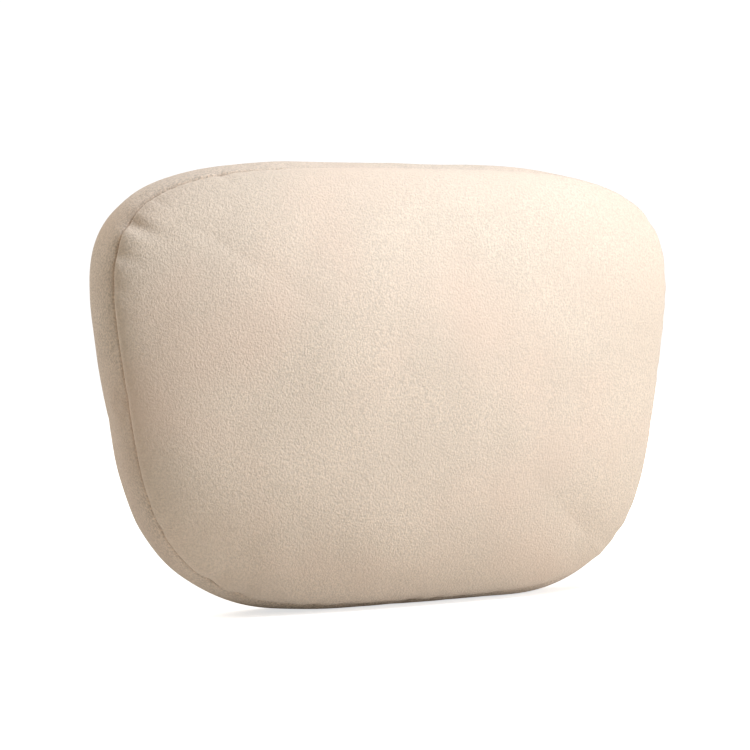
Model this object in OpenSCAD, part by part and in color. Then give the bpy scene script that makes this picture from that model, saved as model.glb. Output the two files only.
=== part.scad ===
// Headrest cushion: a sewn cover with a zip, an inner case with its filling, and an elastic
// strap with a side-release buckle across the back.
// +X is to the right as seen from the front, -Y is the front, +Z is up, and the cushion
// stands on z = 0. All sizes are in millimetres.

/* [Cushion] */
// Width between the side seams at mid height
seam_w = 354; // [340:2:370]
// Height between the top and bottom seams
seam_h = 264; // [256:2:276]
// Share by which the top is wider and the bottom is narrower than mid height
taper = 0.11; // [0.08:0.01:0.13]
// Squareness of the two top corners, where 2 is an ellipse
corner_top = 4.1; // [3.8:0.1:4.6]
// Squareness of the two bottom corners, where 2 is an ellipse
corner_bottom = 3.6; // [3.4:0.1:4.2]
// How far the front crowns beyond its seam
front_crown = 39; // [30:1:46]
// How far the back crowns beyond its seam
back_crown = 12; // [11:0.5:14]
// Depth of the side band between its two seams
band_d = 50; // [44:1:58]
// How far the side band bulges outwards
band_bulge = 6; // [4:0.5:8]
// Thickness of the cover's cloth with its backing
cloth_t = 1.5; // [1.2:0.1:1.8]

/* [Zip] */
// Length of the chain of coils
zip_l = 220; // [180:5:220]
// How far below mid height the zip lies
zip_drop = 62; // [56:1:64]
// Height of the gap in the back panel that shows the chain
zip_gap = 10; // [9.5:0.5:12]
// Length of the pull from its pin to its free end
pull_l = 24; // [18:1:30]

/* [Strap] */
// Width of the elastic webbing
web_w = 25; // [20:1:25]
// Thickness of the elastic webbing
web_t = 1.5; // [1.2:0.1:1.5]
// How far above mid height the strap's centre line lies
strap_rise = 30; // [26:1:40]
// Clear space between the back panel and the strap
strap_gap = 14; // [12:1:18]

/* [Buckle] */
// Outer width of both halves
buckle_w = 33; // [33:1:36]
// Outer thickness of the female half
buckle_t = 10; // [10:0.5:11]
// Length of the female half
female_l = 36; // [36:1:40]

/* [Hidden] */

COLUMNS = 64;          // points round the outline
EVENING = 8.6;         // degrees by which points are drawn to the flat stretches
FRONT_RINGS = 7;       // rings from the middle of the front to its seam
BACK_RINGS = 5;        // rings from the middle of the back to its seam
BAND_STEPS = 6;        // steps across the side band
FRONT_FULL = 2.2;      // fullness of the front's crown
BACK_FLAT = 8;         // flatness of the back's middle
BACK_ROUND = 1.6;      // roundness of the back's shoulder
BAND_FULL = 0.6;       // fullness of the band's bulge
BOTTOM_SAG = 0.4;      // extra share of the bulge along the bottom
FACETS = 48;           // sides of the small round features

layer_gap = 0.3;                              // air between the layers
case_t = 0.6;                                 // inner case's cloth
case_depth = cloth_t + layer_gap;             // cover's outside to the case's outside
filling_depth = case_depth + case_t + layer_gap;
zip_room = 3.5;                               // extra room behind the back panel for the zip
rest_drop = 5.2;                              // bottom seam's height above the floor
floor_z = -seam_h / 2 - rest_drop;            // floor, from mid height

back_y = band_d / 2 + back_crown;             // back panel's highest plane, from the band's middle
web_y = back_y + strap_gap + web_t / 2;       // middle of the strap's inner leg
bar_t = 3;                                    // buckle bar, across the strap
leg_gap = 0.2;                                // air between webbing and a bar
leg_step = bar_t + 2 * leg_gap + web_t;       // from the inner leg to the outer leg
buckle_y = web_y + leg_step / 2;              // middle of the buckle
front_y = -band_d / 2 - front_crown;
rear_y = buckle_y + buckle_t / 2;
mid_y = (front_y + rear_y) / 2;

// ---- outline and lofts ----

function signed_power(v, p) = sign(v) * pow(abs(v), p);
function column_angle(i) = let (a = 360 * i / COLUMNS) a - EVENING * sin(4 * a);
function outline_x(a) = signed_power(cos(a), 2 / (sin(a) < 0 ? corner_bottom : corner_top));
function outline_z(a) = signed_power(sin(a), 2 / (sin(a) < 0 ? corner_bottom : corner_top));
function half_width(z) = seam_w / 2 * (1 + taper * z / (seam_h / 2))
    * pow(1 - pow(abs(z) / (seam_h / 2), corner_top), 1 / corner_top);

// One point: its angle round the outline, its share of the way out, how far it stands beyond
// the seam, its place across the cushion and its layer's depth below the cover's outside.
function outline_point(a, share, grow, y, depth) =
    let (
        ux = outline_x(a),
        uz = outline_z(a),
        sag = 1 + BOTTOM_SAG * pow(max(0, -uz), 6),
        out = max(0, grow) * sag - depth
    )
    [
        (seam_w / 2 + out) * share * ux * (1 + taper * uz),
        y,
        max((seam_h / 2 + out) * share * uz, floor_z + depth)
    ];

function ring(share, grow, y, depth) =
    [for (i = [0:COLUMNS - 1]) outline_point(column_angle(i), share, grow, y, depth)];

function ring_share(j, count) = sin(90 * j / count);
function front_height(share) = pow(max(0, 1 - pow(share, FRONT_FULL)), 1 / FRONT_FULL);
function back_height(share) = pow(max(0, 1 - pow(share, BACK_FLAT)), 1 / BACK_ROUND);

function front_rings(depth) = [
    for (j = [1:FRONT_RINGS])
        let (s = ring_share(j, FRONT_RINGS))
        ring(s, 0, -band_d / 2 - (front_crown - depth) * front_height(s), depth)
];
function back_rings(depth, room) = [
    for (j = [BACK_RINGS:-1:1])
        let (s = ring_share(j, BACK_RINGS))
        ring(s, 0, band_d / 2 + (back_crown - depth - room) * back_height(s), depth)
];
function band_grow(k) = band_bulge * pow(max(0, 1 - k * k), BAND_FULL);
function band_rings(depth, k_from, k_to, steps) = [
    for (j = [0:steps])
        let (k = k_from + (k_to - k_from) * j / steps)
        ring(1, band_grow(k), k * band_d / 2, depth)
];
function front_apex(depth) = [0, -band_d / 2 - front_crown + depth, 0];
function back_apex(depth, room) = [0, band_d / 2 + back_crown - depth - room, 0];

function reversed(list) = [for (i = [len(list) - 1:-1:0]) list[i]];
function joined(lists) = [for (one = lists) each one];
function next_column(i) = (i + 1) % COLUMNS;
function quad_faces(j, k) = [
    for (i = [0:COLUMNS - 1])
        let (a = j * COLUMNS + i, b = j * COLUMNS + next_column(i))
        let (c = k * COLUMNS + next_column(i), d = k * COLUMNS + i)
        each [[a, b, c], [a, c, d]]
];

// A closed skin from one middle point, through the rings, to the other middle point.
module capped_loft(first, rings, last) {
    n = len(rings) * COLUMNS;
    first_fan = [for (i = [0:COLUMNS - 1]) [n, next_column(i), i]];
    last_fan = [for (i = [0:COLUMNS - 1]) [n - COLUMNS + i, n - COLUMNS + next_column(i), n + 1]];
    sides = [for (j = [0:len(rings) - 2]) each quad_faces(j, j + 1)];
    polyhedron(joined([joined(rings), [first, last]]), joined([first_fan, sides, last_fan]));
}

// A closed skin through rings whose last one joins the first.
module looped_loft(rings) {
    sides = [for (j = [0:len(rings) - 1]) each quad_faces(j, (j + 1) % len(rings))];
    polyhedron(joined(rings), sides);
}

// From the band's middle at mid height to the part's own frame.
module placed() {
    translate([0, -mid_y, -floor_z]) children();
}

// ---- cover ----

module front_panel() {
    color("bisque") placed()
        capped_loft(front_apex(0), joined([front_rings(0), reversed(front_rings(cloth_t))]),
            front_apex(cloth_t));
}

module side_band() {
    color("tan") placed()
        looped_loft(joined([band_rings(0, -1, 1, BAND_STEPS), band_rings(cloth_t, 1, -1, BAND_STEPS)]));
}

module back_shell() {
    capped_loft(back_apex(cloth_t, 0),
        joined([reversed(back_rings(cloth_t, 0)), back_rings(0, 0)]), back_apex(0, 0));
}

// The back on one side of the zip's line: side is 1 above it and -1 below it.
module back_part(side) {
    reach = seam_w;
    difference() {
        back_shell();
        translate([-reach, 0, side > 0 ? -zip_drop - reach : -zip_drop])
            cube([2 * reach, reach, reach]);
        translate([-zip_l / 2 - 1, 0, -zip_drop - zip_gap / 2])
            cube([zip_l + 2, reach, zip_gap]);
    }
}

module back_panel_upper() {
    color("bisque") placed() back_part(1);
}

module back_panel_lower() {
    color("bisque") placed() back_part(-1);
}

// ---- zip ----

tape_y = back_y - 3;        // outer face of the tapes
tape_t = 0.6;
tape_w = 10;
tape_tail = 6;              // tape beyond each end of the chain
coil_t = 1.6;
coil_w = 2.1;
chain_split = 1;            // gap between the two rows, where the slider's divider passes
slider_l = 10;
slider_half = 3.6;          // half the slider's width
plate_t = 1;                // slider's outer plate
back_plate_t = 0.8;
slide_gap = 0.2;            // running clearance of the slider
stop_l = 2;
pin_r = 0.62;
eye_r = 0.7;                // bore in the pull
eye_wall = 0.7;
pull_w = 6;
pull_t = 1.2;
slider_x = zip_l / 2 - stop_l - slider_l / 2 - 0.5;
plate_y = tape_y + coil_t + slide_gap;
pin_y = plate_y + plate_t + eye_r + eye_wall + 0.3;

module zip_strip(side, x_length, y_from, thickness, width) {
    z = side > 0 ? chain_split / 2 : -chain_split / 2 - width;
    translate([-x_length / 2, y_from, z - zip_drop]) cube([x_length, thickness, width]);
}

module zip_tape(side) {
    color("burlywood") placed()
        zip_strip(side, zip_l + 2 * tape_tail, tape_y - tape_t, tape_t, tape_w);
}

module zip_tape_upper() {
    zip_tape(1);
}

module zip_tape_lower() {
    zip_tape(-1);
}

module zip_coil(side) {
    color("tan") placed() zip_strip(side, zip_l - 2 * stop_l, tape_y, coil_t, coil_w);
}

module zip_coil_upper() {
    zip_coil(1);
}

module zip_coil_lower() {
    zip_coil(-1);
}

// A stop across both rows at each end of the chain.
module zip_end_stops() {
    half = chain_split / 2 + coil_w;
    color("silver") placed()
        for (x = [-zip_l / 2, zip_l / 2 - stop_l])
            translate([x, tape_y, -zip_drop - half]) cube([stop_l, coil_t, 2 * half]);
}

// Outer plate with its two turned-in sides, the divider, the inner plate and the pin's lugs.
module zip_slider() {
    lug_l = 3;
    lug_w = 0.9;
    lug_z = 1.4;
    side_w = 0.7;
    divider_l = 3;
    divider_w = 0.4;
    back_plate_y = tape_y - tape_t - slide_gap - back_plate_t;
    color("silver") placed() translate([slider_x, 0, -zip_drop]) {
        translate([-slider_l / 2, plate_y, -slider_half]) cube([slider_l, plate_t, 2 * slider_half]);
        translate([-slider_l / 2, back_plate_y, -slider_half])
            cube([slider_l, back_plate_t, 2 * slider_half]);
        for (side = [-1, 1])
            translate([-slider_l / 2, tape_y + slide_gap, side > 0 ? slider_half - side_w : -slider_half])
                cube([slider_l, plate_y - tape_y - slide_gap, side_w]);
        translate([-divider_l / 2, back_plate_y, -divider_w / 2])
            cube([divider_l, plate_y - back_plate_y, divider_w]);
        for (z = [lug_z, -lug_z - lug_w])
            translate([-lug_l / 2, plate_y, z]) cube([lug_l, pin_y + pin_r - plate_y, lug_w]);
        translate([0, pin_y, -lug_z - lug_w / 2])
            cylinder(h = 2 * lug_z + lug_w, r = pin_r, $fn = FACETS);
    }
}

// An eye on the pin, a narrow neck and a tab with a rounded end, lying along -X when shut.
module zip_pull() {
    eye_w = 2.2;
    neck_l = 5;
    color("silver") placed() translate([slider_x, pin_y, -zip_drop])
        difference() {
            union() {
                translate([0, 0, -eye_w / 2]) cylinder(h = eye_w, r = eye_r + eye_wall, $fn = FACETS);
                translate([-neck_l, -pull_t / 2, -eye_w / 2]) cube([neck_l, pull_t, eye_w]);
                translate([-pull_l + pull_w / 2, -pull_t / 2, -pull_w / 2])
                    cube([pull_l - pull_w / 2 - neck_l + 0.5, pull_t, pull_w]);
                translate([-pull_l + pull_w / 2, pull_t / 2, 0])
                    rotate([90, 0, 0]) cylinder(h = pull_t, r = pull_w / 2, $fn = FACETS);
            }
            translate([0, 0, -eye_w]) cylinder(h = 2 * eye_w, r = eye_r, $fn = FACETS);
            translate([-pull_l + pull_w / 2 + 0.5, pull_w, 0])
                rotate([90, 0, 0]) cylinder(h = 2 * pull_w, r = 1.4, $fn = FACETS);
        }
}

// A blank label caught in the seam beside the zip.
module care_label() {
    label_x = -134;
    label_w = 14;
    label_h = 22;
    label_t = 0.4;
    color("ivory") placed()
        translate([label_x, back_y - 0.9, -zip_drop - label_h]) cube([label_w, label_t, label_h]);
}

// ---- strap ----

seam_x = half_width(strap_rise);    // back seam's place at the strap's height
seam_clear = 1.2;                   // strap's middle, outside the seam
bend_x = seam_x - (web_y - band_d / 2);
turn_r = leg_step / 2;              // webbing's middle, round a bar
TURN_STEPS = 10;

function along(p, i) = let (d = p[min(i + 1, len(p) - 1)] - p[max(i - 1, 0)]) d / norm(d);
function beside(p, i, t) = let (d = along(p, i)) p[i] + [-d[1], d[0]] * t;

// Webbing that follows a line of points and lies across Z.
module webbing(path) {
    left = [for (i = [0:len(path) - 1]) beside(path, i, web_t / 2)];
    right = [for (i = [len(path) - 1:-1:0]) beside(path, i, -web_t / 2)];
    translate([0, 0, strap_rise - web_w / 2])
        linear_extrude(web_w) polygon(joined([left, right]));
}

// From the seam up to the strap's level, for a strap that ends at +X.
function seam_rise() = [
    [seam_x + seam_clear, band_d / 2 + 0.6],
    [bend_x + 6, web_y - 5.5],
    [bend_x + 2.4, web_y - 2.2],
    [bend_x - 1, web_y - 0.5],
    [bend_x - 4.5, web_y]
];
function mirrored(path) = [for (p = path) [-p[0], p[1]]];
// Half a turn round a bar at x, from the inner leg to the outer leg, bulging towards side.
function turn(x, side) = [
    for (i = [0:TURN_STEPS])
        let (a = 180 * i / TURN_STEPS)
        [x + side * turn_r * sin(a), web_y + turn_r - turn_r * cos(a)]
];

module strap_left() {
    doubled_l = 30;     // length of the sewn-down end
    color("dimgray") placed()
        webbing(joined([
            mirrored(seam_rise()),
            turn(female_bar_x, 1),
            [[female_bar_x - 3, web_y + leg_step], [female_bar_x - 11, web_y + web_t + 0.1],
                [female_bar_x - 14, web_y + web_t + 0.02],
                [female_bar_x - 14 - doubled_l, web_y + web_t + 0.02]]
        ]));
}

loop_end_x = 34;        // where the moving turn of webbing ends

module strap_right() {
    color("dimgray") placed()
        webbing(joined([[[loop_end_x + 0.05, web_y]], reversed(seam_rise())]));
}

module strap_loop() {
    path = joined([[[loop_end_x, web_y]], turn(male_bar_x, -1), [[loop_end_x, web_y + leg_step]]]);
    color("dimgray") placed() webbing(path);
}

adjuster_x = 100;       // middle of the adjuster
adjuster_l = 14;
sewn_l = 5;             // webbing on each side of the adjuster's bar

module strap_return() {
    color("dimgray") placed()
        webbing([[loop_end_x + 0.05, web_y + leg_step], [adjuster_x - sewn_l - 0.05, web_y + leg_step]]);
}

sewn_step = 3.1;        // from the tucked leg to the outer leg at the adjuster

module strap_sewn_end() {
    r = sewn_step / 2;
    y = web_y + leg_step;
    path = joined([
        [[adjuster_x - sewn_l, y]],
        [for (i = [0:TURN_STEPS]) let (a = 180 * i / TURN_STEPS)
            [adjuster_x + 0.8 + r * sin(a), y - r + r * cos(a)]],
        [[adjuster_x - sewn_l, y - sewn_step]]
    ]);
    color("dimgray") placed() webbing(path);
}

// Two sides, two bars under the strap and the bar that holds the sewn end.
module strap_adjuster() {
    side_clear = 0.5;
    side_w = 2.5;
    under_t = 1.5;
    under_l = 2.5;
    under_y = web_y - web_t / 2 - 0.3 - under_t;
    rim_y = web_y + leg_step + web_t / 2 + 0.4;
    inner = web_w / 2 + side_clear;
    hold_t = 1.3;
    hold_l = 2.5;
    hold_x = -1.6;      // the bar's end that points at the buckle
    color("dimgray") placed() translate([adjuster_x, 0, strap_rise]) {
        for (z = [inner, -inner - side_w])
            translate([-adjuster_l / 2, under_y, z]) cube([adjuster_l, rim_y - under_y, side_w]);
        for (x = [-adjuster_l / 2, adjuster_l / 2 - under_l])
            translate([x, under_y, -inner - 0.5]) cube([under_l, under_t, 2 * inner + 1]);
        translate([hold_x, web_y + leg_step - (sewn_step + hold_t) / 2, -inner - 0.5])
            cube([hold_l, hold_t, 2 * inner + 1]);
    }
}

// ---- buckle ----

mouth_x = 2;                        // open end of the female half
female_x = mouth_x - female_l;
bar_l = 3;                          // bars, along the strap
slot_l = 5.5;                       // slots that the webbing goes through
slot_w = web_w + 1.5;
hollow_l = 26;
hollow_half = buckle_w / 2 - 3.3;   // half the hollow's width
hollow_t = 5.8;
window_l = 12;
window_x = mouth_x - 20;
female_bar_x = female_x + bar_l / 2;
male_x = mouth_x + 0.3;
male_l = 19.2;
male_t = 8;
male_bar_x = male_x + male_l - bar_l / 2;
arm_t = 4.8;
arm_w = 2.4;
arm_z = 9;                          // arms' middle, from the strap's centre line
arm_pivot_x = mouth_x + 2.2;
knuckle_r = 1.8;
arm_tip_x = mouth_x - 23;

// A block with rounded long edges at its four corners across the strap.
module rounded_block(length, thickness, width, r) {
    for (y = [-thickness / 2 + r, thickness / 2 - r])
        for (z = [-width / 2 + r, width / 2 - r])
            translate([0, y, z]) rotate([0, 90, 0]) cylinder(h = length, r = r, $fn = FACETS);
    translate([0, -thickness / 2 + r, -width / 2]) cube([length, thickness - 2 * r, width]);
    translate([0, -thickness / 2, -width / 2 + r]) cube([length, thickness, width - 2 * r]);
}

// A bar with a round edge that the webbing turns on: side is where that edge points.
module strap_bar(x, side) {
    translate([x, 0, -slot_w / 2 - 0.5]) cylinder(h = slot_w + 1, r = bar_t / 2, $fn = FACETS);
    translate([side > 0 ? x - bar_l / 2 : x, -bar_t / 2, -slot_w / 2 - 0.5])
        cube([bar_l / 2, bar_t, slot_w + 1]);
}

module at_buckle() {
    placed() translate([0, buckle_y, strap_rise]) children();
}

module buckle_female() {
    round_r = 2;
    color("dimgray") at_buckle() {
        difference() {
            translate([female_x, 0, 0]) rounded_block(female_l, buckle_t, buckle_w, round_r);
            translate([female_x - 1, -buckle_t, -slot_w / 2])
                cube([bar_l + slot_l + 1, 2 * buckle_t, slot_w]);
            translate([mouth_x - hollow_l, -hollow_t / 2, -hollow_half])
                cube([hollow_l + 1, hollow_t, 2 * hollow_half]);
            translate([window_x, -hollow_t / 2, -buckle_w])
                cube([window_l, hollow_t, 2 * buckle_w]);
        }
        strap_bar(female_bar_x, 1);
    }
}

module buckle_male() {
    round_r = 2;
    tongue_w = 5;
    color("dimgray") at_buckle() {
        difference() {
            translate([male_x, 0, 0]) rounded_block(male_l, male_t, buckle_w, round_r);
            translate([male_x + male_l - bar_l - slot_l, -buckle_t, -slot_w / 2])
                cube([bar_l + slot_l + 1, 2 * buckle_t, slot_w]);
            for (z = [-arm_z, arm_z]) {
                translate([arm_pivot_x, buckle_t, z])
                    rotate([90, 0, 0]) cylinder(h = 2 * buckle_t, r = knuckle_r + 0.3, $fn = FACETS);
                translate([male_x - 1, -buckle_t, z - knuckle_r - 0.3])
                    cube([arm_pivot_x - male_x + 1, 2 * buckle_t, 2 * knuckle_r + 0.6]);
            }
        }
        strap_bar(male_bar_x, -1);
        translate([arm_tip_x + 1, -arm_t / 2, -tongue_w / 2])
            cube([male_x - arm_tip_x, arm_t, tongue_w]);
    }
}

// A side arm: knuckle, neck and a head that fills out towards the window.
module buckle_arm(side) {
    reach = hollow_half - 0.3 - arm_z;
    profile = [
        [arm_pivot_x, arm_w / 2],
        [mouth_x - 8, arm_w / 2],
        [mouth_x - 12, reach - 0.4],
        [mouth_x - 14, reach],
        [mouth_x - 18, reach],
        [mouth_x - 21, reach - 0.9],
        [arm_tip_x, reach - 2.6],
        [arm_tip_x, -arm_w / 2],
        [arm_pivot_x, -arm_w / 2]
    ];
    color("dimgray") at_buckle() translate([0, arm_t / 2, side * arm_z]) rotate([90, 0, 0]) {
        linear_extrude(arm_t) polygon([for (p = profile) [p[0], side * p[1]]]);
        translate([arm_pivot_x, 0, 0]) cylinder(h = arm_t, r = knuckle_r, $fn = FACETS);
    }
}

module buckle_arm_upper() {
    buckle_arm(1);
}

module buckle_arm_lower() {
    buckle_arm(-1);
}

// ---- inside ----

// Band steps in each half of the inner case.
HALF_STEPS = 2;

module inner_case_front() {
    d = case_depth;
    e = case_depth + case_t;
    color("white") placed()
        capped_loft(front_apex(d), joined([
            front_rings(d), band_rings(d, -2 / 3, 0, HALF_STEPS),
            band_rings(e, 0, -2 / 3, HALF_STEPS), reversed(front_rings(e))
        ]), front_apex(e));
}

module inner_case_back() {
    d = case_depth;
    e = case_depth + case_t;
    color("white") placed()
        capped_loft(back_apex(e, zip_room), joined([
            reversed(back_rings(e, zip_room)), band_rings(e, 2 / 3, 0, HALF_STEPS),
            band_rings(d, 0, 2 / 3, HALF_STEPS), back_rings(d, zip_room)
        ]), back_apex(d, zip_room));
}

module fibre_filling() {
    d = filling_depth;
    color("whitesmoke") placed()
        capped_loft(front_apex(d), joined([
            front_rings(d), band_rings(d, -2 / 3, 2 / 3, 2 * HALF_STEPS), back_rings(d, zip_room)
        ]), back_apex(d, zip_room));
}

front_panel();
side_band();
back_panel_upper();
back_panel_lower();
zip_tape_upper();
zip_tape_lower();
zip_coil_upper();
zip_coil_lower();
zip_end_stops();
zip_slider();
zip_pull();
care_label();
strap_left();
strap_right();
strap_loop();
strap_return();
strap_sewn_end();
strap_adjuster();
buckle_female();
buckle_male();
buckle_arm_upper();
buckle_arm_lower();
inner_case_front();
inner_case_back();
fibre_filling();
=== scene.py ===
"""Looks of the headrest cushion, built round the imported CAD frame, in metres."""

import math

import bmesh
import bpy
import numpy as np
from mathutils import Matrix, Vector
from mathutils.bvhtree import BVHTree


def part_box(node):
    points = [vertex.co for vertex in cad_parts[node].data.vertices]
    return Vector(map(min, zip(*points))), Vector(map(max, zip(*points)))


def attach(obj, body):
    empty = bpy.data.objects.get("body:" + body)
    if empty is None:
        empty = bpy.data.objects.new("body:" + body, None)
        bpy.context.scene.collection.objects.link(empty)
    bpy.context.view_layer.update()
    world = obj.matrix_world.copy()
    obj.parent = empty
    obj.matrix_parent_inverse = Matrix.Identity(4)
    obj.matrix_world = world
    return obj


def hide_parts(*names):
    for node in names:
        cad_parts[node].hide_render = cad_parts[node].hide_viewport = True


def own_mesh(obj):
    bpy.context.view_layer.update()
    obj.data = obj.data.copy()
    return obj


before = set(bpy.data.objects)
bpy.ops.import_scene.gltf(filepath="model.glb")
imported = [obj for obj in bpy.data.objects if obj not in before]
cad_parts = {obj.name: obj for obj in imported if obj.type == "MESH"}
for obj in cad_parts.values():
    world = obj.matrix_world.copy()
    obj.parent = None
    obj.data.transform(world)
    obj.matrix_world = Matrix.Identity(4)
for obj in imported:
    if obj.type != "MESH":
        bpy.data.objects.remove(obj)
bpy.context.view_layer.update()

MM = 0.001

# ---- sizes from the frame

front_low, front_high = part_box("front_panel")
back_low, back_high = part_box("back_panel_upper")
band_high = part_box("side_band")[1]
coil_low, coil_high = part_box("zip_coil_upper")
window_low, window_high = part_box("zip_end_stops")

FRONT_SEAM_Y = front_high.y
BACK_SEAM_Y = back_low.y
MID_Y = (FRONT_SEAM_Y + BACK_SEAM_Y) / 2
FRONT_CROWN = front_high.y - front_low.y
BACK_CROWN = back_high.y - back_low.y
BACK_Y = back_high.y
MID_Z = (front_low.z + front_high.z) / 2
HALF_H = (front_high.z - front_low.z) / 2
BULGE = band_high.z - front_high.z
ZIP_Z = (window_low.z + window_high.z) / 2
WINDOW_HALF_L = window_high.x + 1 * MM
WINDOW_HALF_H = 5 * MM

# ---- the cushion's shape

TAPER = 0.11            # how much wider the top is than mid height
SQUARE_TOP = 4.1        # squareness of the seam's corners, where 2 is an ellipse
SQUARE_LOW_LEFT = 3.6
SQUARE_LOW_RIGHT = 4.3
FRONT_FULL = 2.0        # fullness of the front's crown
FRONT_ROUND = 1.8       # roundness of the front's shoulder
FRONT_SWELL = 2.5 * MM  # part of the crown that the simulation adds
FRONT_OVERHANG = 4.6 * MM   # how far the front stands out beyond its own seam
TUCKED = 0.9            # share of that overhang missing at the upper left
TUCKED_AT = 128         # its angle round the seam, in degrees, and how far it reaches
TUCKED_WIDTH = 20
BACK_FLAT = 8.0         # flatness of the back's middle
BACK_ROUND = 1.6        # roundness of the back's shoulder
BAND_FULL = 0.6         # fullness of the band's bulge
BOTTOM_SAG = 0.4        # extra share of the bulge along the bottom
SEAM_LEAN = 5.8 * MM    # how far the front seam leans forward at the top and back at the bottom
CORNER_BACK = 3.2 * MM  # how far the front seam is drawn back at the corners

COARSE = 32             # half the cells across a panel in the cloth simulation
COARSE_ROWS = 10
FINE = 92               # half the cells across a finished panel
FINE_ROWS = 30
CLOTH = 1 * MM          # thickness of the cover's cloth


def steps(half):
    return np.linspace(-1, 1, 2 * half + 1)


def graded(t):
    """Grid lines from -1 to 1, close together towards the seam."""
    return np.sin(0.5 * np.pi * t)


def square_grid(half):
    line = graded(steps(half))
    return np.meshgrid(line, line, indexing="ij")


def ring_point(u, v):
    """Share of the way out, and that ring's own point, which is rounder nearer the middle."""
    m = np.maximum(np.abs(u), np.abs(v))
    safe = np.where(m > 0, m, 1)
    du, dv = u / safe, v / safe
    corner = np.where(v > 0, SQUARE_TOP, np.where(u < 0, SQUARE_LOW_LEFT, SQUARE_LOW_RIGHT))
    n = 2 + (corner - 2) * m ** 1.5
    length = (np.abs(du) ** n + np.abs(dv) ** n) ** (1 / n)
    length = np.where(length > 0, length, 1)
    return m, du / length, dv / length


def widest_share():
    """The widest place of a seam whose half width at mid height is 1."""
    v = np.linspace(0, 1, 400)
    _, x, z = ring_point(np.ones_like(v), v)
    return float((x * (1 + TAPER * z)).max())


HALF_W = (front_high.x - front_low.x) / 2 / widest_share()


def edge_loop(half):
    """Grid indices round a panel's edge, anticlockwise from the front, from the lower left."""
    n = 2 * half
    bottom = [(i, 0) for i in range(n)]
    right = [(n, j) for j in range(n)]
    top = [(i, n) for i in range(n, 0, -1)]
    left = [(0, j) for j in range(n, 0, -1)]
    return np.array(bottom + right + top + left)


def edge_index(half):
    """Place in the edge loop that each point of the grid looks out to."""
    u, v = square_grid(half)
    m = np.maximum(np.maximum(np.abs(u), np.abs(v)), 1e-9)
    du, dv = u / m, v / m
    n = 2 * half
    across = (np.arcsin(np.clip(du, -1, 1)) / (0.5 * np.pi) + 1) * half
    up = (np.arcsin(np.clip(dv, -1, 1)) / (0.5 * np.pi) + 1) * half
    near = 1 - 1e-9
    index = np.where(dv >= near, 3 * n - across, 4 * n - up)
    index = np.where(du >= near, n + up, index)
    return np.where(dv <= -near, across, index)


def spread(values, index):
    """Gives each grid point the value at its place in the edge loop."""
    closed = np.concatenate([values, values[:1]])
    whole = np.floor(index).astype(int)
    part = index - whole
    low, high = whole % len(values), whole % len(values) + 1
    if values.ndim > 1:
        part = part[..., None]
    return closed[low] * (1 - part) + closed[high] * part


def outward(points):
    """Directions away from the middle, in the XZ plane, along a closed anticlockwise line."""
    along = np.roll(points, -1, 0) - np.roll(points, 1, 0)
    out = np.stack([along[:, 2], np.zeros(len(points)), -along[:, 0]], -1)
    return out / np.linalg.norm(out, axis=1, keepdims=True)


def front_seam_y(ex, ez):
    return FRONT_SEAM_Y - SEAM_LEAN * ez + CORNER_BACK * np.abs(ex * ez) ** 1.5


def front_height(m):
    return np.maximum(0, 1 - m ** FRONT_FULL) ** (1 / FRONT_ROUND)


def back_height(m):
    return np.maximum(0, 1 - m ** BACK_FLAT) ** (1 / BACK_ROUND)


def panel(half, front):
    """Points of the front or back panel as a grid, and each one's distance from the seam."""
    u, v = square_grid(half)
    m, ex, ez = ring_point(u, v)
    x = HALF_W * m * ex * (1 + TAPER * ez)
    z = MID_Z + HALF_H * m * ez
    reach = np.hypot(HALF_W * ex, HALF_H * ez) * (1 - m)
    if not front:
        rise = BACK_CROWN * back_height(m)
        return np.stack([x, BACK_SEAM_Y + rise, z], -1), np.hypot(reach, rise)
    height = front_height(m)
    rise = (FRONT_CROWN - FRONT_SWELL) * height
    seam_y = FRONT_SEAM_Y + (front_seam_y(ex, ez) - FRONT_SEAM_Y) * m ** 4
    points = np.stack([x, seam_y - rise, z], -1)
    loop = edge_loop(half)
    out = spread(outward(points[loop[:, 0], loop[:, 1]]), edge_index(half))
    over = FRONT_OVERHANG * np.sqrt(np.clip(4 * height * (1 - height), 0, 1))
    upper_left = np.exp(-((np.degrees(np.arctan2(ez, ex)) - TUCKED_AT) / TUCKED_WIDTH) ** 2)
    over = over * np.minimum(1, m / 0.6) ** 3 * (1 - TUCKED * upper_left)
    return points + out * over[..., None], np.hypot(reach, rise)


def band(half, rows):
    """Points of the side band, from the front seam to the back seam, one line a column."""
    loop = edge_loop(half)
    seam = panel(half, True)[0][loop[:, 0], loop[:, 1]]
    out = outward(seam)
    k = graded(np.linspace(-1, 1, rows + 1))
    low = np.maximum(0, (MID_Z - seam[:, 2]) / HALF_H)
    sag = 1 + BOTTOM_SAG * low ** 6
    grow = BULGE * np.maximum(0, 1 - k * k) ** BAND_FULL
    points = seam[:, None] + out[:, None] * (sag[:, None] * grow)[:, :, None]
    share = (k + 1) / 2
    points[:, :, 1] = seam[:, None, 1] * (1 - share) + BACK_SEAM_Y * share
    return points


def settle(points):
    """The bottom flattened softly where it rests on the floor."""
    soft = 1.2 * MM
    points[..., 2] = soft * np.logaddexp(0, points[..., 2] / soft)
    return points


# ---- grids and meshes


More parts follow.
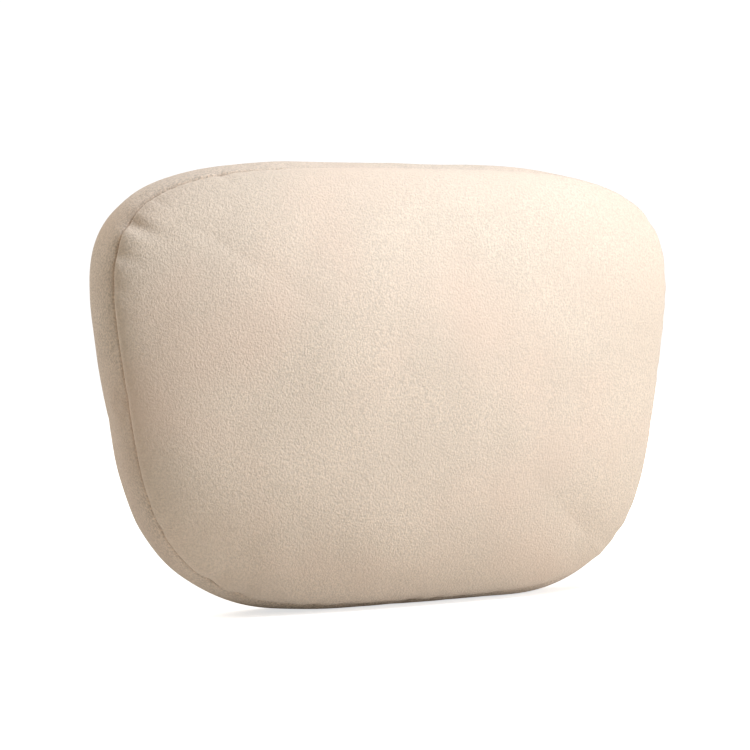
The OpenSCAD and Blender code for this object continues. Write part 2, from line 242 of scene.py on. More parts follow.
def spline_weights(at, count, loop=False):
    """Matrix that carries values at whole indices to the places at, by a cubic."""
    at = np.asarray(at, float)
    base = np.floor(at).astype(int)
    if not loop:
        base = np.minimum(base, count - 2)
    f = at - base
    cubic = [
        -0.5 * f + f ** 2 - 0.5 * f ** 3,
        1 - 2.5 * f ** 2 + 1.5 * f ** 3,
        0.5 * f + 2 * f ** 2 - 1.5 * f ** 3,
        -0.5 * f ** 2 + 0.5 * f ** 3,
    ]
    weights = np.zeros((len(at), count))
    for k, w in enumerate(cubic):
        index = base - 1 + k
        index = index % count if loop else np.clip(index, 0, count - 1)
        np.add.at(weights, (np.arange(len(at)), index), w)
    return weights


def grid_faces(rows, columns, flip=False):
    a = (np.arange(rows - 1)[:, None] * columns + np.arange(columns - 1)).ravel()
    quads = np.stack([a, a + columns, a + columns + 1, a + 1], -1)
    return quads[:, ::-1] if flip else quads


def band_faces(count, rows):
    """Faces of a closed band whose points run row by row within each column."""
    p = np.arange(count)[:, None] * (rows + 1)
    q = (np.arange(count)[:, None] + 1) % count * (rows + 1)
    r = np.arange(rows)[None]
    return np.stack([x.ravel() for x in (p + r, p + r + 1, q + r + 1, q + r)], -1)


def add_object(name, mesh, smooth=True):
    mesh.polygons.foreach_set("use_smooth", [smooth] * len(mesh.polygons))
    piece = bpy.data.objects.new(name, mesh)
    bpy.context.scene.collection.objects.link(piece)
    return piece


def new_piece(name, points, faces, smooth=True):
    mesh = bpy.data.meshes.new(name)
    rows = np.asarray(points, float).reshape(-1, 3).tolist()
    mesh.from_pydata(rows, [], [tuple(int(i) for i in f) for f in faces])
    mesh.update()
    return add_object(name, mesh, smooth)


def add_faces(bm, points, faces):
    made = [bm.verts.new(p) for p in points]
    for f in faces:
        bm.faces.new([made[i] for i in f])


def dress(piece, body, slot, material, *nodes):
    """A piece put on its body, painted, in place of those CAD nodes. Its slot is not used."""
    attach(piece, body)
    if nodes:
        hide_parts(*nodes)
    paint(piece, material)
    return piece


def dress_padded(piece, node, slot, material):
    """The same for a piece of the stuffed cushion."""
    dress(piece, "cushion", slot, material, node)


def point_normals(points, faces):
    """Smooth normals of a mesh of quads."""
    flat = points.reshape(-1, 3)
    a, b, c, d = (flat[faces[:, k]] for k in range(4))
    across = np.cross(c - a, d - b)
    total = np.zeros_like(flat)
    for k in range(4):
        np.add.at(total, faces[:, k], across)
    total /= np.maximum(np.linalg.norm(total, axis=1, keepdims=True), 1e-15)
    return total.reshape(points.shape)


def rim_edges(faces):
    """Edges that only one face has, in that face's direction."""
    edges = {(int(a), int(b)) for f in faces for a, b in zip(f, np.roll(f, -1))}
    return [(a, b) for a, b in edges if (b, a) not in edges]


def shell(name, points, faces, normals, thickness):
    """A closed skin: the outside, a copy a cloth's thickness inside it, and the rim between."""
    outside = points.reshape(-1, 3)
    count = len(outside)
    inside = outside - normals.reshape(-1, 3) * thickness
    rim = sorted(rim_edges(faces))
    walls = [(b, a, a + count, b + count) for a, b in rim]
    every = list(map(tuple, faces)) + [tuple(i + count for i in f[::-1]) for f in faces] + walls
    piece = new_piece(name, np.concatenate([outside, inside]), every)
    sharp = {frozenset(e) for e in rim} | {frozenset((a + count, b + count)) for a, b in rim}
    for edge in piece.data.edges:
        if frozenset(edge.vertices) in sharp:
            edge.use_edge_sharp = True
    return piece


# ---- cloth simulation

CLOTH_SETTINGS = dict(
    quality=6, mass=0.3, tension_stiffness=80, compression_stiffness=80, shear_stiffness=8,
    bending_stiffness=1, tension_damping=12, compression_damping=12, shear_damping=12,
    use_pressure=True, uniform_pressure_force=4.0, vertex_group_mass="pins", pin_stiffness=1,
    shrink_min=-0.001,  # negative shrinking: the cloth is cut a little too large for its seams
)
SIMULATION_FRAMES = 22
MOST_MOVE = 12 * MM     # furthest that the simulation may take a point
FRONT_EASING = 110      # passes that ease the creases out of a panel
BACK_EASING = 12
CORNER_EASING = 90
CORNER_COLUMNS = 9      # columns beside a corner that its easing reaches
BACK_SHARE = 0.4        # share of their moves that the back's points keep
ZIP_HOLD = 0.36         # how much less they keep at the zip, and how far from it that fades
ZIP_REACH = 26 * MM


def cover_mesh(half, rows):
    """One closed skin of both panels and the band, sharing the points of the seams."""
    front, _ = panel(half, True)
    back, _ = panel(half, False)
    ring = settle(band(half, rows))[:, 1:-1]
    side = 2 * half + 1
    loop = edge_loop(half)
    seam = loop[:, 0] * side + loop[:, 1]
    points = np.concatenate([front.reshape(-1, 3), back.reshape(-1, 3), ring.reshape(-1, 3)])
    index = np.zeros((len(loop), rows + 1), int)
    index[:, 0] = seam
    index[:, -1] = seam + side * side
    index[:, 1:-1] = np.arange(len(loop) * (rows - 1)).reshape(len(loop), -1) + 2 * side * side
    faces = np.concatenate([
        grid_faces(side, side),
        grid_faces(side, side, flip=True) + side * side,
        index.ravel()[band_faces(len(loop), rows)],
    ])
    return points, faces, np.concatenate([index[:, 0], index[:, -1]])


def simulate(points, faces, pinned):
    """Where the cover's points go when the sewn cloth is blown up by its filling."""
    piece = new_piece("cover_simulation", points, faces)
    pins = piece.vertex_groups.new(name="pins")
    pins.add([int(i) for i in pinned], 1, "REPLACE")
    cloth = piece.modifiers.new("Cloth", "CLOTH")
    for name, value in CLOTH_SETTINGS.items():
        setattr(cloth.settings, name, value)
    cloth.settings.effector_weights.gravity = 0
    cloth.point_cache.frame_start = 1
    cloth.point_cache.frame_end = SIMULATION_FRAMES
    scene = bpy.context.scene
    for number in range(1, SIMULATION_FRAMES + 1):
        scene.frame_set(number)
    blown = piece.evaluated_get(bpy.context.evaluated_depsgraph_get())
    moved = np.zeros(len(points) * 3)
    blown.data.vertices.foreach_get("co", moved)
    scene.frame_set(1)
    bpy.data.objects.remove(piece)
    return moved.reshape(-1, 3)


def capped(move):
    length = np.maximum(np.linalg.norm(move, axis=-1, keepdims=True), 1e-9)
    return move * (MOST_MOVE * np.tanh(length / MOST_MOVE) / length)


def zip_calm(points):
    """Share of its move that each point keeps: the back is held by its zip and by what it leans on."""
    beyond = np.maximum(np.abs(points[:, 0]) - WINDOW_HALF_L, 0)
    away = np.hypot(beyond, points[:, 2] - ZIP_Z)
    held = np.exp(-(away / ZIP_REACH) ** 2)
    return np.where(points[:, 1] > BACK_SEAM_Y, BACK_SHARE - ZIP_HOLD * held, 1)


def eased(move, passes):
    """A panel's moves without their creases: each is averaged with its neighbours', in passes."""
    side = 2 * COARSE + 1
    grid = move.reshape(side, side, 3).copy()
    for _ in range(passes):
        beside = grid[:-2, 1:-1] + grid[2:, 1:-1] + grid[1:-1, :-2] + grid[1:-1, 2:]
        grid[1:-1, 1:-1] = grid[1:-1, 1:-1] / 2 + beside / 8
    return grid.reshape(-1, 3)


def eased_corners(move):
    """The band's moves without the folds that the four corners of the grid would leave across it."""
    raw = move.reshape(8 * COARSE, -1)
    ring = raw
    for _ in range(CORNER_EASING):
        ring = ring / 2 + (np.roll(ring, 1, 0) + np.roll(ring, -1, 0)) / 4
    column = np.arange(len(ring)) % (2 * COARSE)
    from_corner = np.minimum(column, 2 * COARSE - column)
    kept = 1 - np.exp(-(from_corner / CORNER_COLUMNS) ** 2)[:, None]
    return (raw * kept + ring * (1 - kept)).reshape(-1, 3)


def coarse_cover():
    """The blown cover on the coarse grids: its closed skin, its faces and how far each point went."""
    points, faces, pinned = cover_mesh(COARSE, COARSE_ROWS)
    moves = capped(simulate(points, faces, pinned) - points)
    panel_points = (2 * COARSE + 1) ** 2
    for start, passes in ((0, FRONT_EASING), (panel_points, BACK_EASING)):
        part = slice(start, start + panel_points)
        moves[part] = eased(moves[part], passes)
    moves[2 * panel_points:] = eased_corners(moves[2 * panel_points:])
    return points, faces, moves * zip_calm(points)[:, None]


def carried(move):
    """The coarse moves, carried to the fine grids of the front, the back and the band."""
    side = 2 * COARSE + 1
    count = 8 * COARSE
    front = move[: side * side].reshape(side, side, 3)
    back = move[side * side: 2 * side * side].reshape(side, side, 3)
    ring = np.zeros((count, COARSE_ROWS + 1, 3))
    ring[:, 1:-1] = move[2 * side * side:].reshape(count, COARSE_ROWS - 1, 3)
    across = spline_weights((steps(FINE) + 1) * COARSE, side)
    along = spline_weights(np.arange(8 * FINE) * COARSE / FINE, count, loop=True)
    down = spline_weights(np.linspace(0, COARSE_ROWS, FINE_ROWS + 1), COARSE_ROWS + 1)
    return (
        np.einsum("ia,jb,abk->ijk", across, across, front, optimize=True),
        np.einsum("ia,jb,abk->ijk", across, across, back, optimize=True),
        np.einsum("ia,jb,abk->ijk", along, down, ring, optimize=True),
    )


# ---- small irregularities


def wander(points, wavelength, seed):
    """A smooth random field of about that wavelength, mostly between -1 and 1."""
    own = np.random.default_rng(seed)
    total = np.zeros(points.shape[:-1])
    waves = 14
    for _ in range(waves):
        direction = own.normal(size=3)
        direction /= np.linalg.norm(direction)
        turns = 2 * np.pi / (wavelength * own.uniform(0.75, 1.5))
        total += np.sin(points @ direction * turns + own.uniform(0, 2 * np.pi))
    return total / math.sqrt(waves)


class Seam:
    """The fine grid's seam line: its places in metres, its length and its angles in degrees."""

    loop = edge_loop(FINE)
    points = panel(FINE, True)[0][loop[:, 0], loop[:, 1]]
    gaps = np.linalg.norm(np.roll(points, -1, 0) - points, axis=1)
    place = np.concatenate([[0], np.cumsum(gaps)[:-1]])
    length = float(gaps.sum())
    angle = np.degrees(np.unwrap(np.arctan2((points[:, 2] - MID_Z) / HALF_H, points[:, 0] / HALF_W)))
    index = edge_index(FINE)


def place_at(angle):
    """Place along the seam at an angle from +X, turning up and over to the left."""
    first = Seam.angle[0]
    turned = (angle - first) % 360 + first
    return float(np.interp(turned, Seam.angle, Seam.place))


def grid_place():
    """Place along the seam that each point of a fine panel looks out to."""
    closed = np.concatenate([Seam.place, [Seam.length]])
    return np.interp(Seam.index % len(Seam.place), np.arange(len(closed)), closed)


PUCKER_RIM = 0.3        # height of the raised sides of a dent, as a share of its depth
RIM_AT = 1.8            # and where they are, in widths of the dent
BAND_REACH = 0.5        # how far a dent reaches into the band, as a share of its reach beside it


def puckers(place, inward, rows, reach_share=1):
    """Depth of the dents that run in from a seam, each given as (place, reach, width, depth)."""
    total = np.zeros(np.broadcast(place, inward).shape)
    for at, reach, width, depth in rows:
        apart = (place - at + Seam.length / 2) % Seam.length - Seam.length / 2
        across = apart / width
        dent = np.exp(-across ** 2) - PUCKER_RIM * np.exp(-(np.abs(across) - RIM_AT) ** 2)
        total += depth * dent * np.exp(-(inward / (reach * reach_share)) ** 2)
    return total


CHANCE_PUCKERS = 46     # small chance dents round each seam


def chance_puckers(seed, deepest):
    """Dents at chance places, as (place, reach, width, depth)."""
    own = np.random.default_rng(seed)
    lowest = np.array([0, 5 * MM, 3 * MM, 0.1 * deepest])
    highest = np.array([Seam.length, 13 * MM, 6 * MM, deepest])
    return [tuple(own.uniform(lowest, highest)) for _ in range(CHANCE_PUCKERS)]


def chosen_puckers(rows):
    """Dents given as angle round the seam, reach, width and depth, in degrees and millimetres."""
    return [(place_at(a), reach * MM, width * MM, depth * MM) for a, reach, width, depth in rows]


FRONT_PUCKERS = chosen_puckers([
    (142.5, 16, 5.5, 1.1), (148.5, 12, 4.5, 0.6), (125, 8, 3.5, 0.8), (-130, 11, 5.0, 1.8),
    (-124, 10, 4.0, 1.5), (-110, 7, 4.0, 0.7), (-84, 6, 3.5, 0.6), (-78, 6, 3.0, 0.5),
    (38, 8, 4.0, 0.7), (-42, 9, 4.5, 0.8),
])
FRONT_FOLDS = chosen_puckers([
    (143, 15, 3.8, 1.9), (149.5, 12, 3.6, 1.2), (156, 9, 3.5, 0.7), (137, 10, 3.5, 0.6),
])
FOLD_START = 3 * MM     # how far inside the seam those folds of the front begin


PANEL_SWELL = (0.75, 95, 12), (0.2, 36, 24)    # depth, wavelength in millimetres and seed
BAND_SWELL = (0.5, 75, 5), (0.2, 28, 6)
PANEL_FADE = 22 * MM    # from a seam, how far the unevenness fades out
BAND_FADE = 9 * MM


def uneven(points, rows, fade, inward, shift=0):
    """How far the filling swells each point, fading out towards the seam."""
    swell = sum(depth * MM * wander(points, size * MM, seed - shift) for depth, size, seed in rows)
    return swell * (1 - np.exp(-(inward / fade) ** 2))


GROOVE = 2.2 * MM       # depth of the seam
GROOVE_WIDTH = 0.95 * MM


def groove(inward):
    """How far the cloth is drawn in beside a seam."""
    return GROOVE * np.exp(-(inward / GROOVE_WIDTH) ** 2)


def into_seam(front):
    """Direction into the body at each point of the seam, halfway between its two sides."""
    direction = -outward(Seam.points)
    direction[:, 1] = 1 if front else -1
    return direction / math.sqrt(2)


# ---- the cover


def finished_panel(front, moves, rows):
    points, inward = panel(FINE, front)
    points = points + moves
    faces = grid_faces(2 * FINE + 1, 2 * FINE + 1, flip=not front)
    normals = point_normals(points, faces)
    place = grid_place()
    swell = uneven(points, PANEL_SWELL, PANEL_FADE, inward, shift=front)
    points = points + normals * swell[..., None]
    drawn = groove(inward) + puckers(place, inward, rows)
    if front:
        begun = 1 - np.exp(-(inward / FOLD_START) ** 2)
        drawn = drawn + puckers(place, inward, FRONT_FOLDS) * begun
    points = points + spread(into_seam(front), Seam.index) * drawn[..., None]
    return settle(points), faces


def finished_band(moves, front_rows, back_rows):
    points = settle(band(FINE, FINE_ROWS) + moves)
    faces = band_faces(8 * FINE, FINE_ROWS)
    normals = point_normals(points, faces)
    gaps = np.linalg.norm(np.diff(points, axis=1), axis=2)
    from_front = np.concatenate([np.zeros((len(points), 1)), np.cumsum(gaps, 1)], 1)
    from_back = from_front[:, -1:] - from_front
    swell = uneven(points, BAND_SWELL, BAND_FADE, np.minimum(from_front, from_back))
    points = points + normals * swell[..., None]
    place = Seam.place[:, None]
    for front, inward, rows in ((True, from_front, front_rows), (False, from_back, back_rows)):
        drawn = groove(inward) + puckers(place, inward, rows, BAND_REACH)
        points = points + into_seam(front)[:, None] * drawn[..., None]
    points[..., 2] = np.maximum(points[..., 2], 0)
    return points, faces


def sunk_at_zip(x, z):
    """Depth of the back at the zip: its folded edges, its stitched lines and the plain seam."""
    beyond = np.maximum(np.abs(x) - WINDOW_HALF_L, 0)
    above = np.maximum(np.abs(z - ZIP_Z) - WINDOW_HALF_H, 0)
    away = np.hypot(beyond, above)
    fold = ZIP_FOLD * np.exp(-(away / ZIP_FOLD_WIDTH) ** 2)
    line = STITCH_SINK * np.exp(-((away - STITCH_AWAY) / STITCH_WIDTH) ** 2)
    plain = GROOVE * np.exp(-((z - ZIP_Z) / GROOVE_WIDTH) ** 2)
    plain = plain * np.clip(beyond / PLAIN_START, 0, 1)
    return np.maximum(fold, plain) + line


ZIP_FOLD = 2.1 * MM     # how far the folded edges turn down to the tapes
ZIP_FOLD_WIDTH = 1.5 * MM
STITCH_AWAY = 3.6 * MM  # stitched line's distance from the folded edge, its depth and its width
STITCH_SINK = 0.35 * MM
STITCH_WIDTH = 0.8 * MM
PLAIN_START = 4 * MM    # length over which the plain seam begins beside the zip
CUT_SNAP = 0.02 * MM    # a point nearer than this to a cut lies on it
ZIP_CUTS = (0, 0.5, 1.1, 1.9, 3.2, 5, 5.4, 5.9, 6.5, 7.2, 7.9, 8.6, 9.3, 10.3)
END_CUTS = (-1.5, 0, 0.4, 0.9, 1.5, 2.2, 2.9, 3.6, 4.3, 5.3)


def cut(bm, faces, place, direction):
    """New edges where a plane crosses those faces."""
    parts = list({e for f in faces for e in f.edges} | {v for f in faces for v in f.verts})
    geom = parts + list(faces)
    bmesh.ops.bisect_plane(bm, geom=geom, dist=CUT_SNAP, plane_co=place, plane_no=direction)


def back_parts(points, faces):
    """The back's mesh, cut for the zip: an upper and a lower part as points, faces and normals."""
    bm = bmesh.new()
    add_faces(bm, points.reshape(-1, 3), faces)
    for offset in ZIP_CUTS:
        for side in ((1, -1) if offset else (1,)):
            cut(bm, bm.faces[:], (0, 0, ZIP_Z + side * offset * MM), (0, 0, 1))
    near = 11 * MM
    for offset in END_CUTS:
        for side in (1, -1):
            beside = [f for f in bm.faces if abs(f.calc_center_median().z - ZIP_Z) < near]
            cut(bm, beside, (side * (WINDOW_HALF_L + offset * MM), 0, 0), (1, 0, 0))
    slip = 1e-6
    gone = []
    for f in bm.faces:
        c = f.calc_center_median()
        if abs(c.x) < WINDOW_HALF_L - slip and abs(c.z - ZIP_Z) < WINDOW_HALF_H - slip:
            gone.append(f)
    bmesh.ops.delete(bm, geom=gone, context="FACES")
    bm.verts.ensure_lookup_table()
    for vert in bm.verts:
        vert.co.y -= float(sunk_at_zip(vert.co.x, vert.co.z))
    bm.normal_update()
    parts = []
    for side in (1, -1):
        own = [f for f in bm.faces if (f.calc_center_median().z - ZIP_Z) * side > 0]
        used = sorted({v.index for f in own for v in f.verts})
        number = {old: new for new, old in enumerate(used)}
        where = np.array([bm.verts[i].co for i in used])
        normals = np.array([bm.verts[i].normal for i in used])
        parts.append((where, [tuple(number[v.index] for v in f.verts) for f in own], normals))
    bm.free()
    return parts


SUEDE = "suede", (0.80, 0.658, 0.526), 0.15         # name, colour and strength of the grain, and on the band also of painted nap shade
# The band's stronger speckle is painted shade of its nap under side light, on top of the grain
BAND_SUEDE = "suede_band", (0.76, 0.625, 0.50), 0.34


def with_normals(skin):
    points, faces = skin
    return points, faces, point_normals(points, faces)


def make_cover(moves):
    """Makes the cover's four pieces and returns the two of the back."""
    front_moves, back_moves, band_moves = carried(moves)
    front_rows = FRONT_PUCKERS + chance_puckers(3, 0.5 * MM)
    back_rows = chance_puckers(4, 0.6 * MM)
    front = with_normals(finished_panel(True, front_moves, front_rows))
    side = with_normals(finished_band(band_moves, front_rows, back_rows))
    upper, lower = back_parts(*finished_panel(False, back_moves, back_rows))
    made = []
    for name, skin, node in (
        ("front_cover", front, "front_panel"),
        ("side_band_cover", side, "side_band"),
        ("back_cover_upper", upper, "back_panel_upper"),
        ("back_cover_lower", lower, "back_panel_lower"),
    ):
        piece = shell(name, *skin, CLOTH)
        dress_padded(piece, node, "cover", suede(*(BAND_SUEDE if skin is side else SUEDE)))
        made.append(piece)
    return made[2:]


# ---- inner case and filling

CASE_DEPTH = 5 * MM
CASE_CLOTH = 0.6 * MM
FILLING_DEPTH = 6 * MM
ZIP_ROOM = 4.5 * MM


def shrunk(points, depth):
    """The closed skin drawn in towards the middle, and further behind the back for the zip."""
    middle = np.array([0, MID_Y, MID_Z])
    away = points - middle
    front_share = 1 - depth / (MID_Y - front_low.y)
    back_share = 1 - (depth + ZIP_ROOM) / (BACK_Y - MID_Y)
    share_y = np.where(away[:, 1] < 0, front_share, back_share)
    shares = np.stack([
        np.full(len(points), 1 - depth / HALF_W),
        share_y,
        np.full(len(points), 1 - depth / HALF_H),
    ], -1)
    return middle + away * shares


def make_inside(points, faces):
    case = shrunk(points, CASE_DEPTH)
    normals = point_normals(case, faces)
    in_front = points[faces].mean(1)[:, 1] < MID_Y
    for name, chosen in (("front", in_front), ("back", ~in_front)):
        own = faces[chosen]
        used = np.unique(own)
        number = np.zeros(len(points), int)
        number[used] = np.arange(len(used))
        half = shell(f"inner_case_cloth_{name}", case[used], number[own], normals[used], CASE_CLOTH)
        dress_padded(half, f"inner_case_{name}", "case", case_cloth())
    filling = new_piece("fibre_filling_pad", shrunk(points, FILLING_DEPTH), faces)
    dress_padded(filling, "fibre_filling", "filling", fibre())


# ---- webbing, threads and tubes

right_low, right_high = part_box("strap_right")
loop_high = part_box("strap_loop")[1]
return_low, return_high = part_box("strap_return")
sewn_low, sewn_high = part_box("strap_sewn_end")
female_low, female_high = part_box("buckle_female")
male_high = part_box("buckle_male")[1]

WEB_T = return_high.y - return_low.y
WEB_W = right_high.z - right_low.z
STRAP_Z = (right_low.z + right_high.z) / 2
INNER_Y = right_high.y - WEB_T / 2          # middle of the leg nearer the cushion
OUTER_Y = return_high.y - WEB_T / 2         # middle of the leg that comes back from a bar
BUCKLE_Y = (female_low.y + female_high.y) / 2
BAR_L = 3 * MM                              # buckle bars, along the strap
FEMALE_BAR_X = female_low.x + BAR_L / 2
MALE_BAR_X = male_high.x - BAR_L / 2
SEWN_L = 30 * MM                            # length of the left strap's sewn-down end


def smooth_line(points, gap):
    """The same way through the points, on a smooth curve with a point about every gap."""
    p = np.asarray(points, float)
    ends = np.concatenate([[2 * p[0] - p[1]], p, [2 * p[-1] - p[-2]]])
    out = []
    for i in range(len(p) - 1):
        a, b, c, d = ends[i: i + 4]
        count = max(1, int(round(np.linalg.norm(c - b) / gap)))
        for t in np.arange(count) / count:
            knee = 2 * b + (c - a) * t
            square, cube = 2 * a - 5 * b + 4 * c - d, 3 * b - a - 3 * c + d
            out.append(0.5 * (knee + square * t ** 2 + cube * t ** 3))
    return np.array(out + [p[-1]])


def tube_faces(rings, sides, order=1):
    """Faces between rings of points, and one over each end, listed forwards (1) or back (-1)."""
    faces = []
    for start in range(0, (rings - 1) * sides, sides):
        for j in range(sides):
            k = (j + 1) % sides
            faces.append((start + j, start + sides + j, start + sides + k, start + k))
    last = rings * sides - 1
    ends = (tuple(range(sides)), tuple(range(last, last - sides, -1)))
    return faces + [end[::order] for end in ends]


def sweep(line, section, up, order=1):
    """Points and faces of a closed section, as offsets left and up, carried along a line."""
    line = np.asarray(line, float)
    section = np.asarray(section, float)
    along = np.gradient(line, axis=0)
    along /= np.linalg.norm(along, axis=1, keepdims=True)
    left = np.cross(np.array(up, float), along)
    left /= np.maximum(np.linalg.norm(left, axis=1, keepdims=True), 1e-9)
    up = np.cross(along, left)
    points = line[:, None] + section[:, :1] * left[:, None] + section[:, 1:] * up[:, None]
    return points.reshape(-1, 3), tube_faces(len(line), len(section), order)


RIBS = 14
RIB_DEPTH = 0.16 * MM
WEB_SHARP_ANGLE = math.radians(50)


def web_section():
    """Outline of the elastic webbing: two ribbed faces and two rounded edges."""
    per_rib = 6
    across = np.linspace(-1, 1, RIBS * per_rib + 1)
    reach = WEB_W / 2 - 0.5 * MM
    thick = WEB_T / 2 - RIB_DEPTH * (0.5 + 0.5 * np.cos(np.pi * RIBS * (across + 1)))
    upper = [(t, STRAP_Z + s * reach) for s, t in zip(across, thick)]
    lower = [(-t, z) for t, z in reversed(upper)]
    round_edge = (math.pi / 3, math.pi / 2, 2 * math.pi / 3)
    edge = [(WEB_T / 2 - RIB_DEPTH) * math.cos(a) for a in round_edge]
    swell = [0.35 * MM, 0.5 * MM, 0.35 * MM]
    top = [(t, STRAP_Z + reach + s) for t, s in zip(edge, swell)]
    bottom = [(-t, STRAP_Z - reach - s) for t, s in zip(edge, swell)]
    return upper + top + lower + bottom


def make_web(name, line, body, *nodes):
    level = [(x, y, 0) for x, y in line]
    piece = new_piece(name, *sweep(level, web_section(), (0, 0, 1)))
    fix_normals(piece)
    piece.data.set_sharp_from_angle(angle=WEB_SHARP_ANGLE)
    return dress(piece, body, "webbing", elastic(), *nodes)


def fix_normals(piece):
    bm = bmesh.new()
    bm.from_mesh(piece.data)
    bmesh.ops.recalc_face_normals(bm, faces=bm.faces)
    bm.to_mesh(piece.data)
    bm.free()


def seam_half(z):
    """Half the width between the side seams at a height."""
    share = (z - MID_Z) / HALF_H
    return HALF_W * (1 + TAPER * share) * (1 - share ** SQUARE_TOP) ** (1 / SQUARE_TOP)


def lean_to_seam(piece):
    """The webbing slanted at its sewn end, where the seam leans, and straight at its bend."""
    seam_x = seam_half(STRAP_Z)
    rise = INNER_Y - BACK_SEAM_Y
    for vert in piece.data.vertices:
        share = min(1, max(0, 1 - (seam_x - abs(vert.co.x)) / rise))
        side = math.copysign(1, vert.co.x)
        vert.co.x += side * share * (seam_half(vert.co.z) - seam_x)


def seam_rise():
    """The strap's way from the back seam at +X up to its own level."""
    seam_x = seam_half(STRAP_Z)
    bend_x = seam_x - (INNER_Y - BACK_SEAM_Y)
    from_seam = [(-0.6, 0.2), (-1.3, 2.8), (-4.2, 5.9)]
    from_bend = [(13, -12.6), (6, -5.6), (2.4, -2.3), (-1, -0.6), (-5, 0), (-9, 0)]
    rise = [(seam_x + x * MM, BACK_SEAM_Y + y * MM) for x, y in from_seam]
    return rise + [(bend_x + x * MM, INNER_Y + y * MM) for x, y in from_bend]


def turn(x, side):
    """Half a turn of webbing round a bar, from the inner leg to the outer leg."""
    r = (OUTER_Y - INNER_Y) / 2
    steps_round = 14
    angles = [math.pi * i / steps_round for i in range(steps_round + 1)]
    return [(x + side * r * math.sin(a), INNER_Y + r - r * math.cos(a)) for a in angles]


def make_straps():
    step = 1.6 * MM
    doubled_y = INNER_Y + WEB_T + 0.02 * MM
    left_rise = [(-x, y) for x, y in seam_rise()]
    sewn_x = FEMALE_BAR_X - 14 * MM
    left_line = left_rise + [(FEMALE_BAR_X - 6 * MM, INNER_Y)] + turn(FEMALE_BAR_X, 1) + [
        (FEMALE_BAR_X - 3 * MM, OUTER_Y - 0.3 * MM),
        (FEMALE_BAR_X - 8 * MM, doubled_y + 1.3 * MM),
        (sewn_x + 2 * MM, doubled_y + 0.15 * MM),
        (sewn_x, doubled_y),
        (sewn_x - SEWN_L, doubled_y),
    ]
    lean_to_seam(make_web("strap_web_left", smooth_line(left_line, step), "cushion", "strap_left"))
    right_line = [(right_low.x, INNER_Y), (right_low.x + 8 * MM, INNER_Y)] + seam_rise()[::-1]
    right = make_web("strap_web_right", smooth_line(right_line, step), "cushion", "strap_right")
    lean_to_seam(right)
    rise_x, rise_y = seam_rise()[0]
    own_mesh(right)
    loop_line = [(loop_high.x, INNER_Y)] + turn(MALE_BAR_X, -1) + [(loop_high.x, OUTER_Y)]
    make_web("strap_web_loop", smooth_line(loop_line, 0.8 * MM), "male_half", "strap_loop")
    return_line = [(return_low.x, OUTER_Y), (return_high.x, OUTER_Y)]
    back = make_web("strap_web_return", smooth_line(return_line, step), "male_half", "strap_return")
    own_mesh(back)
    tucked_y = sewn_low.y + WEB_T / 2
    r = (OUTER_Y - tucked_y) / 2
    bar_x = sewn_high.x - WEB_T / 2 - r
    angles = [math.pi * i / 12 for i in range(13)]
    bend = [(bar_x + r * math.sin(a), OUTER_Y - r + r * math.cos(a)) for a in angles]
    sewn_line = [(sewn_low.x, OUTER_Y)] + bend + [(sewn_low.x, tucked_y)]
    make_web("strap_web_end", smooth_line(sewn_line, 0.6 * MM), "adjuster", "strap_sewn_end")
    box_stitches(sewn_x, doubled_y)


def tube(line, radius):
    """Points and faces of a thread along a line that doesn't run along Y."""
    turns = 2 * np.pi * np.arange(THREAD_SIDES) / THREAD_SIDES
    section = radius * np.stack([-np.cos(turns), np.sin(turns)], -1)
    return sweep(line, section, (0, 1, 0), order=-1)


def joined(parts):
    """Several meshes as one list of points and one of faces."""
    points, faces, start = [], [], 0
    for own_points, own_faces in parts:
        points.append(own_points)
        faces += [tuple(i + start for i in f) for f in own_faces]
        start += len(own_points)
    return np.concatenate(points), faces


THREAD_SIDES = 6
STITCH_ARCH = 2.2       # how far a stitch stands up and how deep its ends lie, in thread radii
STITCH_SUNK = 1.3
STITCH_GAP = 0.06       # share of the pitch left free at each end of a stitch


def stitch(start, end, radius):
    """One stitch: a short thread that arches from one hole to the next, towards +Y."""
    a, b = np.array(start), np.array(end)
    t = np.linspace(0, 1, 7)[:, None]
    arch = STITCH_ARCH * radius * np.sin(np.pi * t) - STITCH_SUNK * radius
    line = a + (b - a) * t + np.array([0, 1.0, 0]) * arch
    return tube(line, radius)


def stitch_row(start, end, pitch, radius, height):
    """Stitches from one point (x, z) to another, on the surface that height(x, z) gives."""
    a, b = np.array(start), np.array(end)
    count = max(1, int(round(np.linalg.norm(b - a) / pitch)))
    holes = [a + (b - a) * i / count for i in range(count + 1)]
    parts = []
    for p, q in zip(holes, holes[1:]):
        ends = p + (q - p) * STITCH_GAP, q - (q - p) * STITCH_GAP
        parts.append(stitch(*[(x, height(x, z), z) for x, z in ends], radius))
    return parts


def box_rows(left, right, low, high):
    corners = [(left, low), (right, low), (right, high), (left, high)]
    return list(zip(corners, corners[1:] + corners[:1]))


def stitched(name, rows, pitch, radius, height, slot, colour):
    """Rows of stitches, each from one (x, z) to another, as one piece on the cushion."""
    parts = [part for start, end in rows for part in stitch_row(start, end, pitch, radius, height)]
    dress(new_piece(name, *joined(parts)), "cushion", slot, thread(colour))


def box_stitches(sewn_x, doubled_y):
    """The box and cross that hold the left strap's end down."""
    surface = doubled_y + WEB_T / 2 - 0.1 * MM
    inset = 3 * MM
    left, right = sewn_x - SEWN_L + inset, sewn_x - inset
    low, high = STRAP_Z - WEB_W / 2 + inset, STRAP_Z + WEB_W / 2 - inset
    rows = box_rows(left, right, low, high)
    rows += [((left, low), (right, high)), ((right, low), (left, high))]
    stitched("strap_box_stitches", rows, 2.4 * MM, 0.22 * MM, lambda x, z: surface, "webbing",
             (0.05, 0.05, 0.052))


# ---- zip

COIL_PITCH = 1.27 * MM
COIL_WIRE = 0.27 * MM
COIL_OVERLAP = 0.42 * MM    # how far each row's heads reach past the middle
COIL_SQUARENESS = 0.7


